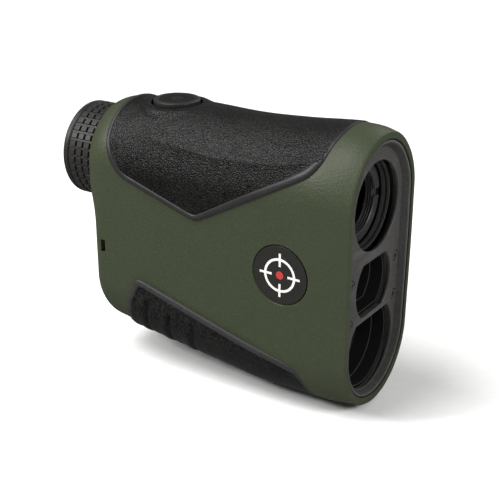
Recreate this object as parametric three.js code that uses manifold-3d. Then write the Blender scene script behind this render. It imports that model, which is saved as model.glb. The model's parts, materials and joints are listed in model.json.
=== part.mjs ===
// Hand-held laser rangefinder, 100 mm long. Millimetres.
// +X points out of the front lenses, +Z is up, -Y is the side that carries the badge.
import * as THREE from 'three';
import { mergeVertices } from 'three/addons/utils/BufferGeometryUtils.js';
import Module from 'manifold-3d';

const wasm = await Module();
wasm.setup();

// ---- driving dimensions -------------------------------------------------------------------

const CLEARANCE = 0.3;

const BODY_FRONT = 50;
const BODY_REAR = -38.5;
const REAR_ROUNDING = 6;
const LIP_ROUNDING = 0.5;
const WALL = 2.2;
const ARCH_STEPS = 12;

// Side-view outline of the shell and its half width: [x, value] along the length.
const TOP_LINE = [[-38.5, 76.4], [-29, 78.2], [-10, 78.9], [9, 78.2], [25, 79.1], [40, 80.9], [50, 79.2]];
const BOTTOM_LINE = [[-38.5, 8.8], [-20, 5.6], [0, 3.1], [20, 1], [39.5, 0], [50, 1.8]];
const HALF_WIDTH = [[-38.5, 17.8], [-20, 18.2], [38, 18.3], [50, 18.1]];

const SIGHT_Z = 59.5;
const EMITTER_Z = 36.7;
const RECEIVER_Z = 18.3;
const BATTERY_Z = 25;

const SIGHT_APERTURE_R = 12.5;
const EMITTER_APERTURE_R = 10;
const EMITTER_FLATS = [28.6, 44.35];
const RECEIVER_APERTURE_R = 12.9;
const RECEIVER_FLAT = 27.3;

const PLATE_FACE = 48;
const PLATE_RIM = 49.3;
const PLATE_REAR = 45.8;
const PLATE_HALF_WIDTH = 16.1;
const PLATE_ARCH_TOP = 61;
const PLATE_ARCH_BOTTOM = 19.9;
const TUNNEL_MOUTH = PLATE_REAR - CLEARANCE;
const SCREW_Y = 12.7;
const SCREW_Z = [40.9, 29.05];

const RING_REAR = -50;
const RING_R = 14;
const RING_BORE_R = 12.2;
const RING_TEETH = 36;
const COLLAR_REAR = -39;
const COLLAR_FRONT = -30;
const COLLAR_R = 17.5;
const CAP_BORE_R = 9.7;

const BUTTON_X = -17.5;
const BUTTON_R = 6.85;
const BUTTON_TOP = 79.5;
const BUTTON_WELL = [70, 90];

const BADGE = { x: 29.3, z: 41.5, radius: 8.4, thickness: 0.9 };
const LANYARD_SLOT = { rear: -34, front: -32.2, bottom: 34, top: 37.9 };

const BATTERY_R = 7.8;
const BATTERY_LENGTH = 27;
const BATTERY_FRONT = -8.4;

const GRIP_DEPTH = 0.8;
const GRIP_PROUD = 0.4;
const BEAD_PROUD = 0.7;
const BEAD_WIDTH = 1.3;

const FINE = 40;
const MEDIUM = 28;
const COARSE = 16;

// ---- geometry helpers ---------------------------------------------------------------------

function signedVolume(positions, index) {
  const [a, b, c] = [new THREE.Vector3(), new THREE.Vector3(), new THREE.Vector3()];
  let volume = 0;
  for (let i = 0; i < index.length; i += 3) {
    a.fromArray(positions, index[i] * 3);
    b.fromArray(positions, index[i + 1] * 3);
    c.fromArray(positions, index[i + 2] * 3);
    volume += a.dot(b.cross(c));
  }
  return volume / 6;
}

// One indexed closed surface with shared vertices, no degenerate triangles and its faces outward.
function closed(geometry) {
  const bare = geometry.clone();
  bare.deleteAttribute('normal');
  bare.deleteAttribute('uv');
  const merged = mergeVertices(bare, 1e-4);
  const source = merged.index.array;
  const kept = [];
  for (let i = 0; i < source.length; i += 3) {
    const [a, b, c] = [source[i], source[i + 1], source[i + 2]];
    if (a !== b && b !== c && c !== a) kept.push(a, b, c);
  }
  if (signedVolume(merged.attributes.position.array, kept) < 0) kept.reverse();
  merged.setIndex(kept);
  return merged;
}

function solid(geometry) {
  const surface = closed(geometry);
  return new wasm.Manifold(new wasm.Mesh({
    numProp: 3,
    vertProperties: new Float32Array(surface.attributes.position.array),
    triVerts: new Uint32Array(surface.index.array),
  }));
}

function surfaceOf(body) {
  const mesh = body.getMesh();
  const geometry = new THREE.BufferGeometry();
  geometry.setAttribute('position', new THREE.BufferAttribute(new Float32Array(mesh.vertProperties), 3));
  geometry.setIndex(new THREE.BufferAttribute(new Uint32Array(mesh.triVerts), 1));
  geometry.computeVertexNormals();
  return geometry;
}

// Evenly spaced values from one end of a span to the other.
const spread = (from, to, steps) =>
  Array.from({ length: steps + 1 }, (_, i) => from + ((to - from) * i) / steps);

const joined = (bodies) => bodies.reduce((sum, body) => sum.add(body));

function box([x0, x1], [y0, y1], [z0, z1]) {
  const geometry = new THREE.BoxGeometry(x1 - x0, y1 - y0, z1 - z0);
  geometry.translate((x0 + x1) / 2, (y0 + y1) / 2, (z0 + z1) / 2);
  return solid(geometry);
}

// A profile of [x, radius] turned about a line along X at height z.
function turned(profile, z, segments = MEDIUM, y = 0) {
  const points = profile.map(([x, radius]) => new THREE.Vector2(radius, x));
  const geometry = new THREE.LatheGeometry(points, segments);
  geometry.rotateZ(-Math.PI / 2);
  geometry.translate(0, y, z);
  return solid(geometry);
}

// A profile of [radius, z] turned about a vertical line at x.
function turnedUpright(profile, x, segments = MEDIUM) {
  const points = profile.map(([radius, z]) => new THREE.Vector2(radius, z));
  const geometry = new THREE.LatheGeometry(points, segments);
  geometry.rotateX(Math.PI / 2);
  geometry.translate(x, 0, 0);
  return solid(geometry);
}

const rod = ([x0, x1], radius, z, segments = MEDIUM, y = 0) =>
  turned([[x0, 0], [x0, radius], [x1, radius], [x1, 0]], z, segments, y);

const post = ([z0, z1], radius, x, segments = MEDIUM) =>
  turnedUpright([[0, z0], [radius, z0], [radius, z1], [0, z1]], x, segments);

const tube = ([x0, x1], outer, bore, z, segments = MEDIUM) =>
  turned([[x0, bore], [x0, outer], [x1, outer], [x1, bore], [x0, bore]], z, segments);

const depthOf = ([from, to]) => ({ depth: to - from, bevelEnabled: false });

// An outline of [x, z] points made into a slab between two y values.
function slabAcross(outline, span) {
  const shape = new THREE.Shape(outline.map(([x, z]) => new THREE.Vector2(x, z)));
  const geometry = new THREE.ExtrudeGeometry(shape, depthOf(span));
  geometry.rotateX(Math.PI / 2);
  geometry.translate(0, span[1], 0);
  return solid(geometry);
}

// An outline of [y, z] points made into a slab between two x values.
function slabAlong(outline, span) {
  const shape = new THREE.Shape(outline.map(([y, z]) => new THREE.Vector2(y, z)));
  const geometry = new THREE.ExtrudeGeometry(shape, depthOf(span));
  geometry.rotateX(Math.PI / 2);
  geometry.rotateZ(Math.PI / 2);
  geometry.translate(span[0], 0, 0);
  return solid(geometry);
}

// Moves each corner of an anticlockwise outline outward (or inward when distance is negative).
function grown(outline, distance) {
  return outline.map((point, i) => {
    const before = outline[(i + outline.length - 1) % outline.length];
    const after = outline[(i + 1) % outline.length];
    const into = new THREE.Vector2(point[0] - before[0], point[1] - before[1]).normalize();
    const out = new THREE.Vector2(after[0] - point[0], after[1] - point[1]).normalize();
    const normal = new THREE.Vector2(into.y + out.y, -into.x - out.x).normalize();
    const reach = distance / Math.max(0.5, normal.dot(new THREE.Vector2(out.y, -out.x)));
    return [point[0] + normal.x * reach, point[1] + normal.y * reach];
  });
}

// Rings of equal point count joined into one closed skin, with a fan over each end.
function loft(rings) {
  const count = rings[0].length;
  const positions = [];
  const index = [];
  rings.forEach((ring) => ring.forEach((point) => positions.push(...point)));
  for (let r = 0; r + 1 < rings.length; r += 1) {
    for (let i = 0; i < count; i += 1) {
      const [a, b] = [r * count + i, r * count + ((i + 1) % count)];
      index.push(a, b, b + count, a, b + count, a + count);
    }
  }
  [0, rings.length - 1].forEach((r) => {
    const ring = rings[r];
    const centre = [0, 1, 2].map((k) => ring.reduce((sum, point) => sum + point[k], 0) / count);
    const hub = positions.length / 3;
    positions.push(...centre);
    for (let i = 0; i < count; i += 1) {
      const [a, b] = [r * count + i, r * count + ((i + 1) % count)];
      index.push(...(r === 0 ? [hub, b, a] : [hub, a, b]));
    }
  });
  const geometry = new THREE.BufferGeometry();
  geometry.setAttribute('position', new THREE.Float32BufferAttribute(positions, 3));
  geometry.setIndex(index);
  return solid(geometry);
}

// A stadium outline of [y, z]: an arch on top, a flat side each way and an arch below.
function stadium(radius, topCentre, bottomCentre) {
  const arch = (centre, start) => spread(start, start + Math.PI, ARCH_STEPS)
    .map((angle) => [radius * Math.cos(angle), centre + radius * Math.sin(angle)]);
  return [...arch(topCentre, 0), ...arch(bottomCentre, Math.PI)];
}

// A smooth curve through the [x, value] points of a line.
function along(line, x) {
  const last = line.length - 1;
  const i = Math.max(0, Math.min(last - 1, line.findIndex(([at]) => at >= x) - 1));
  const [x0, y0] = line[i];
  const [x1, y1] = line[i + 1];
  const slope = (from, to) => (line[to][1] - line[from][1]) / (line[to][0] - line[from][0]);
  const before = slope(Math.max(0, i - 1), i + 1);
  const after = slope(i, Math.min(last, i + 2));
  const span = x1 - x0;
  const t = (x - x0) / span;
  return y0 * (1 + 2 * t) * (1 - t) ** 2 + y1 * t * t * (3 - 2 * t)
    + span * t * (1 - t) * (before * (1 - t) - after * t);
}

// ---- body form ----------------------------------------------------------------------------

// How far the shell has drawn in at x, where its rear edge and its front lip are rounded.
function edgeInset(x) {
  const intoRear = BODY_REAR + REAR_ROUNDING - x;
  if (intoRear > 0) return REAR_ROUNDING - Math.sqrt(Math.max(0, REAR_ROUNDING ** 2 - intoRear ** 2));
  const intoLip = x - (BODY_FRONT - LIP_ROUNDING);
  if (intoLip > 0) return LIP_ROUNDING - Math.sqrt(Math.max(0, LIP_ROUNDING ** 2 - intoLip ** 2));
  return 0;
}

// The body's cross-section at x, moved outward by proud (inward when negative).
function bodySection(x, proud) {
  const halfWidth = along(HALF_WIDTH, x);
  const topCentre = along(TOP_LINE, x) - halfWidth;
  const bottomCentre = along(BOTTOM_LINE, x) + halfWidth;
  return stadium(halfWidth + proud - edgeInset(x), topCentre, bottomCentre).map(([y, z]) => [x, y, z]);
}

// The body form through a list of x stations, moved outward by proudAt(x).
const bodyForm = (proudAt, stations) => loft(stations.map((x) => bodySection(x, proudAt(x))));

const even = (distance) => () => distance;

const REAR_EDGE_END = BODY_REAR + REAR_ROUNDING;
const GRIP_STATIONS = spread(-34, 44, 11);
const CAVITY_STATIONS = [
  ...spread(BODY_REAR + WALL, REAR_EDGE_END, 2),
  ...spread(REAR_EDGE_END, PLATE_REAR, 9).slice(1),
];

function shellForm() {
  const quarter = spread(0, Math.PI / 2, 4);
  const rear = quarter.map((angle) => BODY_REAR + REAR_ROUNDING * (1 - Math.cos(angle)));
  const middle = spread(REAR_EDGE_END, BODY_FRONT - LIP_ROUNDING, 12).slice(1);
  const lip = [BODY_FRONT - LIP_ROUNDING * 0.4, BODY_FRONT - LIP_ROUNDING * 0.1, BODY_FRONT];
  return bodyForm(even(0), [...rear, ...middle, ...lip]);
}

// Rounded boss that gathers the shell round the eyepiece.
function eyepieceCollar() {
  const [roundingLength, faceR] = [7, 15];
  const rounding = spread(0, Math.PI / 2, 5).map((angle) => [
    COLLAR_REAR + roundingLength * (1 - Math.sin(angle)),
    faceR + (COLLAR_R - faceR) * Math.cos(angle),
  ]);
  return turned([[COLLAR_FRONT, 0], [COLLAR_FRONT, COLLAR_R], ...rounding, [COLLAR_REAR, 0]], SIGHT_Z, FINE);
}

// Side outline of the top grip: a wide V on each flank, closed above the body.
function topGripOutline() {
  const above = 90;
  const path = new THREE.Path();
  path.moveTo(-0.8, 52.1);
  path.quadraticCurveTo(1.35, 51.4, 3.4, 52.5);
  path.lineTo(34.4, 69.1);
  path.quadraticCurveTo(38.2, 71.1, 39.4, 75.4);
  path.lineTo(40.9, 81.5);
  path.lineTo(40.9, above);
  path.lineTo(-31.8, above);
  path.lineTo(-31.8, 76.3);
  path.quadraticCurveTo(-31.8, 66.4, -26.2, 61);
  path.quadraticCurveTo(-24.6, 59.5, -22.4, 58.8);
  return pointsOf(path);
}

// Side outline of the bottom grip: a wedge that narrows forward, closed below the body.
function bottomGripOutline() {
  const below = -8;
  const path = new THREE.Path();
  path.moveTo(-26.7, below);
  path.lineTo(37.6, below);
  path.lineTo(37.2, 3.5);
  path.quadraticCurveTo(36.6, 9.6, 34.4, 13.3);
  path.quadraticCurveTo(33.9, 14.2, 32.8, 14.6);
  path.lineTo(-18.4, 28.2);
  path.quadraticCurveTo(-20.3, 28.7, -21.1, 27.1);
  path.quadraticCurveTo(-25.9, 17, -26.7, 9);
  return pointsOf(path);
}

function pointsOf(path) {
  const arcSteps = 4;
  const points = path.getPoints(arcSteps).map((point) => [point.x, point.y]);
  const apart = (a, b) => Math.hypot(a[0] - b[0], a[1] - b[1]) > 0.05;
  return points.filter((point, i) => i === 0 || apart(point, points[i - 1]));
}

const gripSlab = (outline, growth = 0) => slabAcross(growth ? grown(outline, growth) : outline, [-26, 26]);

// The sheet between two offsets of the body form, within a side outline.
const gripSheet = (slab, proudAt) =>
  slab.intersect(bodyForm(proudAt, GRIP_STATIONS)).subtract(bodyForm(even(-GRIP_DEPTH), GRIP_STATIONS));

const gripRecess = (outline) =>
  gripSlab(outline, CLEARANCE).subtract(bodyForm(even(-GRIP_DEPTH - CLEARANCE), GRIP_STATIONS));

// ---- shell and grips ----------------------------------------------------------------------

function housing() {
  const cavityForm = bodyForm(even(-WALL), CAVITY_STATIONS);
  const plateSeat = slabAlong(
    stadium(PLATE_HALF_WIDTH + CLEARANCE, PLATE_ARCH_TOP, PLATE_ARCH_BOTTOM),
    [TUNNEL_MOUTH, BODY_FRONT + 1],
  );
  const openings = joined([
    plateSeat,
    gripRecess(topGripOutline()),
    gripRecess(bottomGripOutline()),
    rod([COLLAR_REAR - 1, COLLAR_FRONT], RING_BORE_R, SIGHT_Z),
    rod([BODY_REAR - 1, BODY_REAR + 2 * WALL], CAP_BORE_R, BATTERY_Z),
    post(BUTTON_WELL, BUTTON_R + CLEARANCE, BUTTON_X),
    badgeSeat(),
    lanyardWindows(),
  ]);
  return shellForm().add(eyepieceCollar()).subtract(cavityForm).add(screwRails()).subtract(openings);
}

// Two ribs on the inner walls that take the plate screws.
function screwRails() {
  const [xSpan, inner, zSpan] = [[38, TUNNEL_MOUTH], 11.4, [26.6, 43.4]];
  const ribs = box(xSpan, [inner, 20], zSpan).add(box(xSpan, [-20, -inner], zSpan));
  const holes = joined(screwPlaces().map(({ y, z }) => rod([41.5, BODY_FRONT], 0.9, z, 12, y)));
  return ribs.intersect(bodyForm(even(-WALL / 2), spread(36, 47, 3))).subtract(holes);
}

function screwPlaces() {
  const names = { upper: SCREW_Z[0], lower: SCREW_Z[1] };
  return Object.entries(names).flatMap(([level, z]) => [
    { name: `bezel_screw_${level}_left`, y: SCREW_Y, z },
    { name: `bezel_screw_${level}_right`, y: -SCREW_Y, z },
  ]);
}

const disc = ([y0, y1], radius, x, z) => {
  const geometry = new THREE.CylinderGeometry(radius, radius, y1 - y0, MEDIUM);
  geometry.translate(x, (y0 + y1) / 2, z);
  return solid(geometry);
};

const badgeFace = () => -along(HALF_WIDTH, BADGE.x) - 0.05;

function badgeSeat() {
  const floor = badgeFace() + BADGE.thickness + CLEARANCE;
  return disc([-22, floor], BADGE.radius + CLEARANCE, BADGE.x, BADGE.z);
}

const badge = () => disc([badgeFace(), badgeFace() + BADGE.thickness], BADGE.radius, BADGE.x, BADGE.z);

// The slot on the badge side and the slot in the rear corner that a lanyard loops through.
function lanyardWindows() {
  const { rear, front, bottom, top } = LANYARD_SLOT;
  const side = box([rear, front], [-22, -14], [bottom, top]);
  const back = box([BODY_REAR - 2, rear - 0.5], [-14.6, -12.8], [bottom, top]);
  return side.add(back);
}

// Moulded elbow behind the two slots.
function lanyardAnchor() {
  const { rear, front, bottom, top } = LANYARD_SLOT;
  const block = box([-36, -30.6], [-18, -11.2], [bottom - 1.6, top + 1.6]);
  const fitted = block.intersect(bodyForm(even(-WALL - CLEARANCE), CAVITY_STATIONS.slice(0, 5)));
  const sideWay = box([rear, front], [-18, -12.8], [bottom, top]);
  const backWay = box([-38, front], [-14.6, -12.8], [bottom, top]);
  return fitted.subtract(sideWay.add(backWay));
}

function topGrip() {
  const outline = topGripOutline();
  const slab = gripSlab(outline);
  const edge = slab.subtract(gripSlab(outline, -BEAD_WIDTH));
  const buttonWell = post(BUTTON_WELL, BUTTON_R + 0.9, BUTTON_X);
  return gripSheet(slab, even(GRIP_PROUD)).add(gripSheet(edge, even(BEAD_PROUD))).subtract(buttonWell);
}

// The bottom grip stands proud at the rear and runs out flush with the shell at its front end.
const bottomProud = (x) => GRIP_PROUD * Math.min(1, Math.max(0, (36 - x) / 40)) - 0.02;

function bottomGrip() {
  const grooves = joined([[-16.2, 22.3], [-8.4, 19.9], [-0.3, 17.5]].map(([x, z]) => fingerGroove(x, z)));
  const floor = bodyForm(even(-0.3), GRIP_STATIONS);
  return gripSheet(gripSlab(bottomGripOutline()), bottomProud).subtract(grooves.subtract(floor));
}

// A slot that leans back as it runs down from its top end at x, z and under the body.
function fingerGroove(x, z) {
  const [halfWidth, lean, below] = [0.7, 0.31, -8];
  const foot = x - lean * (z - below);
  const outline = [
    [foot - halfWidth, below], [foot + halfWidth, below],
    [x + halfWidth, z], [x - halfWidth, z],
  ];
  return slabAcross(outline, [-26, 26]);
}

// ---- front plate --------------------------------------------------------------------------

// A cylinder along X cut by a flat below and a flat above.
const flatted = (xSpan, radius, z, [low, high], segments = FINE) =>
  rod(xSpan, radius, z, segments).intersect(box([xSpan[0] - 1, xSpan[1] + 1], [-30, 30], [low, high]));

function frontPlate() {
  const outline = stadium(PLATE_HALF_WIDTH, PLATE_ARCH_TOP, PLATE_ARCH_BOTTOM);
  const blank = slabAlong(outline, [PLATE_REAR, PLATE_RIM]);
  const through = [PLATE_REAR - 1, PLATE_RIM + 1];
  const chamfer = (radius) => [
    [PLATE_FACE + 0.1, 0], [PLATE_FACE + 0.1, radius + 0.6], [PLATE_FACE - 0.5, radius],
  ];
  const sightMouth = turned([...chamfer(SIGHT_APERTURE_R), [PLATE_FACE - 0.5, 0]], SIGHT_Z, FINE);
  const openings = joined([
    plateDish(),
    rod(through, SIGHT_APERTURE_R, SIGHT_Z, FINE),
    sightMouth,
    flatted(through, EMITTER_APERTURE_R, EMITTER_Z, EMITTER_FLATS),
    flatted(through, RECEIVER_APERTURE_R, RECEIVER_Z, [0, RECEIVER_FLAT]),
    ...screwPlaces().map(({ y, z }) => screwHole(y, z)),
  ]);
  return blank.subtract(openings);
}

// The shallow dish inside the plate's rim.
function plateDish() {
  const ring = (x, inset) => stadium(PLATE_HALF_WIDTH - inset, PLATE_ARCH_TOP, PLATE_ARCH_BOTTOM)
    .map(([y, z]) => [x, y, z]);
  return loft([ring(PLATE_FACE, 1.8), ring(PLATE_RIM, 1), ring(PLATE_RIM + 1, 0.5)]);
}

const screwHole = (y, z) =>
  rod([PLATE_REAR - 1, PLATE_FACE], 0.9, z, 16, y).add(rod([46.8, PLATE_FACE + 0.5], 1.35, z, 16, y));

function bezelScrew({ y, z }) {
  const [tip, neck, top, slotDepth] = [42, 47.1, 47.9, 0.4];
  const blank = turned([[tip, 0], [tip, 0.6], [neck, 0.6], [neck, 1.05], [top, 1.05], [top, 0]], z, 16, y);
  const slotSpan = [top - slotDepth, top + 1];
  const cross = box(slotSpan, [y - 0.7, y + 0.7], [z - 0.17, z + 0.17])
    .add(box(slotSpan, [y - 0.17, y + 0.17], [z - 0.7, z + 0.7]));
  return blank.subtract(cross);
}

// ---- sighting optics ----------------------------------------------------------------------

function objectiveBarrel() {
  const [rear, seatRear, mouthStep] = [17, 34.2, 43.9];
  const [outer, mouth, seat, waist] = [13.9, 12.4, 11.7, 9.9];
  return turned([
    [rear, waist], [rear, outer], [TUNNEL_MOUTH, outer], [TUNNEL_MOUTH, mouth],
    [mouthStep, mouth], [mouthStep, seat], [seatRear, seat], [seatRear, waist], [rear, waist],
  ], SIGHT_Z, FINE);
}

// A lens that bulges on both faces between a rear and a front vertex.
function lens([rear, front], radius, bulge, z, segments = MEDIUM) {
  const steps = 3;
  const face = (vertex, direction) =>
    spread(0, radius, steps).map((r) => [vertex - direction * bulge * (r / radius) ** 2, r]);
  return turned([...face(rear, -1), ...face(front, 1).reverse()], z, segments);
}

// The ring that holds the front lens, with two notches for a pin spanner.
function objectiveRetainer() {
  const [rear, front, notchDepth, notchHalf] = [39.6, 42, 1.2, 1.05];
  const notches = box([front - notchDepth, front + 1], [-15, 15], [SIGHT_Z - notchHalf, SIGHT_Z + notchHalf]);
  return tube([rear, front], 11.4, 9.2, SIGHT_Z).subtract(notches);
}

const PRISM_X = 4.75;

const prismBody = (outline) =>
  slabAcross(outline.map(([x, z]) => [PRISM_X + x, SIGHT_Z + z]), [-7, 7]);

const roofPrism = () => prismBody([[-9.4, 8.2], [-9.4, -6.2], [-7.9, -4.7], [5, 8.2]]);

const halfPentaPrism = () => prismBody([[9.4, -8.2], [9.4, 8.2], [5.6, 8.2], [-7.2, -4.6], [-3.6, -8.2]]);

function prismCage() {
  const [half, height, wall] = [11.25, 10.2, 1.2];
  const outer = box([PRISM_X - half, PRISM_X + half], [-10, 10], [SIGHT_Z - height, SIGHT_Z + height]);
  const inner = box(
    [PRISM_X - half + wall, PRISM_X + half - wall],
    [-11, 10 - wall],
    [SIGHT_Z - height + wall, SIGHT_Z + height - wall],
  );
  return outer.subtract(inner).subtract(rod([PRISM_X - 14, PRISM_X + 14], 7.5, SIGHT_Z));
}

const opticsChassis = () => {
  const plate = box([-27.9, 16.6], [10.4, 11.8], [46.8, 68.6]);
  const windows = joined([-19, 2].map((x) => box([x - 5, x + 5], [9, 13], [54, 64])));
  return plate.subtract(windows);
};

const lcdDisplay = () => box([-25.9, -24.9], [-5.5, 5.5], [SIGHT_Z - 3.9, SIGHT_Z + 3.9]);

const lcdHolder = () =>
  box([-24.6, -23.4], [-9.6, 9.6], [49.4, 63.6]).subtract(rod([-26, -22], 3.5, SIGHT_Z));

// ---- eyepiece -----------------------------------------------------------------------------

function diopterRing() {
  const [core, gripFront, frontEnd] = [13.5, -41, COLLAR_REAR - CLEARANCE];
  const sleeve = turned([
    [RING_REAR, 10.4], [RING_REAR, RING_R - 0.3], [RING_REAR + 0.3, RING_R], [RING_REAR + 0.9, RING_R],
    [RING_REAR + 0.9, core], [frontEnd, core],
    [frontEnd, RING_BORE_R], [RING_REAR + 1.4, RING_BORE_R], [RING_REAR + 1.4, 10.4], [RING_REAR, 10.4],
  ], SIGHT_Z, FINE);
  const teeth = slabAlong(toothedOutline(core - 0.2), [RING_REAR + 1.3, gripFront]);
  return sleeve.add(teeth.subtract(rod([RING_REAR, gripFront + 1], core - 0.4, SIGHT_Z, FINE)));
}

// Round outline with a flat-topped rib per tooth.
function toothedOutline(root) {
  const pitch = (2 * Math.PI) / RING_TEETH;
  const corners = [[-0.38, root], [-0.36, RING_R], [0.36, RING_R], [0.38, root]];
  return Array.from({ length: RING_TEETH }, (_, tooth) => corners.map(([share, radius]) => {
    const angle = (tooth + share) * pitch;
    return [radius * Math.cos(angle), SIGHT_Z + radius * Math.sin(angle)];
  })).flat();
}

function eyepieceMount() {
  const [bore, outer, flange] = [10.1, RING_BORE_R - CLEARANCE, 13.4];
  return turned([
    [-46.5, bore], [-46.5, outer], [-36, outer], [-36, flange], [-34.4, flange],
    [-34.4, outer], [-28.5, outer], [-28.5, bore], [-46.5, bore],
  ], SIGHT_Z, FINE);
}

function ocularCell() {
  const [outer, seat, waist] = [9.8, 8.8, 7.8];
  return turned([
    [-47.8, seat], [-47.8, outer], [-29.5, outer], [-29.5, seat], [-34.6, seat],
    [-34.6, waist], [-41.9, waist], [-41.9, seat], [-47.8, seat],
  ], SIGHT_Z);
}

// ---- laser channels -----------------------------------------------------------------------

function emitterBarrel() {
  const body = flatted([22, TUNNEL_MOUTH], 10.6, EMITTER_Z, [28.05, 44.95]);
  const mouth = flatted([37, TUNNEL_MOUTH + 1], EMITTER_APERTURE_R, EMITTER_Z, EMITTER_FLATS);
  return body.subtract(joined([mouth, rod([33, 38], 7.6, EMITTER_Z), rod([21, 34], 5.6, EMITTER_Z)]));
}

function receiverBarrel() {
  const body = flatted([20, TUNNEL_MOUTH], 13.5, RECEIVER_Z, [0, 27.75]);
  const mouth = flatted([33.8, TUNNEL_MOUTH + 1], RECEIVER_APERTURE_R, RECEIVER_Z, [0, RECEIVER_FLAT]);
  const seat = flatted([29.4, 35], 12.6, RECEIVER_Z, [0, 27.1]);
  return body.subtract(joined([mouth, seat, rod([19, 30], 8, RECEIVER_Z)]));
}

const receiverLens = () =>
  lens([29.8, 33.9], 12.3, 0.9, RECEIVER_Z).intersect(box([20, 40], [-20, 20], [0, 26.8]));

const canWithFlange = (front, radius, z) =>
  turned([[front - 4.2, 0], [front - 4.2, radius + 0.6], [front - 3.2, radius + 0.6],
    [front - 3.2, radius], [front, radius], [front, 0]], z, COARSE);

// ---- electronics and battery --------------------------------------------------------------

const BOARD_Y = [11.9, 13.1];
const PARTS_Y = BOARD_Y[0] - CLEARANCE;

const mainBoard = () => box([-33, 8], BOARD_Y, [18, 45.6]);
const processorChip = () => box([-6, 2], [PARTS_Y - 1.1, PARTS_Y], [36.2, 44.2]);
const converterCoil = () => box([-19.5, -11.5], [PARTS_Y - 4, PARTS_Y], [36.2, 44.2]);
const storageCapacitor = () => rod([-31.5, -22.5], 3, 40, COARSE, PARTS_Y - 3);

function batteryTube() {
  const [rear, outer, bore] = [-37.8, 9.4, BATTERY_R + 0.4];
  return turned([
    [rear, 8.9], [rear, outer], [-6.2, outer], [-6.2, 0], [-7.4, 0],
    [-7.4, bore], [-35.4, bore], [-35.4, 8.9], [rear, 8.9],
  ], BATTERY_Z);
}

function batteryCell() {
  const [rear, shoulder, nub] = [BATTERY_FRONT - BATTERY_LENGTH, BATTERY_FRONT - 1, 3.2];
  return turned([
    [rear, 0], [rear, BATTERY_R], [shoulder, BATTERY_R],
    [shoulder, nub], [BATTERY_FRONT, nub], [BATTERY_FRONT, 0],
  ], BATTERY_Z, COARSE);
}

function batteryCap() {
  const [face, headFront, plugRear, plugFront] = [-40.4, -38.8, -38.1, -36.4];
  const blank = turned([
    [plugFront, 0], [plugFront, 8.6], [plugRear, 8.6], [plugRear, 8.3], [headFront, 8.3],
    [headFront, 10.4], [face + 0.3, 10.4], [face, 10.1], [face, 0],
  ], BATTERY_Z);
  const coinSlot = box([face - 1, face + 0.9], [-6.5, 6.5], [BATTERY_Z - 0.8, BATTERY_Z + 0.8]);
  return blank.subtract(coinSlot);
}

// ---- fire button --------------------------------------------------------------------------

function fireButton() {
  const [flangeR, flangeBottom, flangeTop] = [7.7, 72.6, 73.6];
  return turnedUpright([
    [0, flangeBottom], [flangeR, flangeBottom], [flangeR, flangeTop], [BUTTON_R, flangeTop],
    [BUTTON_R, BUTTON_TOP - 0.6], [BUTTON_R - 0.6, BUTTON_TOP], [0, BUTTON_TOP],
  ], BUTTON_X, MEDIUM);
}

function buttonBracket() {
  const [outer, inner, floor, top] = [10.2, 9.3, 64, 71.8];
  return turnedUpright([
    [3, floor], [outer, floor], [outer, top], [inner, top],
    [inner, floor + 1.1], [3, floor + 1.1], [3, floor],
  ], BUTTON_X);
}

function buttonMembrane() {
  return turnedUpright([[2.2, 70.6], [9, 70.6], [9, 71.1], [2.2, 71.1], [2.2, 70.6]], BUTTON_X, COARSE);
}

// ---- materials and assembly ---------------------------------------------------------------

function material(color, roughness, metalness = 0) {
  return new THREE.MeshStandardMaterial({ color, roughness, metalness });
}

const finishes = {
  olive: () => material(0x4a523f, 0.55),
  blackRubber: () => material(0x262625, 0.8),
  greyPlastic: () => material(0x3b3a3a, 0.6),
  blackPlastic: () => material(0x1b1b1b, 0.5),
  badgeGrey: () => material(0x363633, 0.45),
  blackSteel: () => material(0x2a2a2a, 0.35, 0.8),
  blackAluminium: () => material(0x202020, 0.4, 0.5),
  glass: () => material(0xbfd0cc, 0.05),
  boardGreen: () => material(0x1f5a36, 0.5),
  chipBlack: () => material(0x151515, 0.5),
  tin: () => material(0xb8b8b6, 0.3, 1),
  copper: () => material(0xa5643a, 0.4, 1),
  batteryWrap: () => material(0x3f6f9e, 0.35),
};

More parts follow.
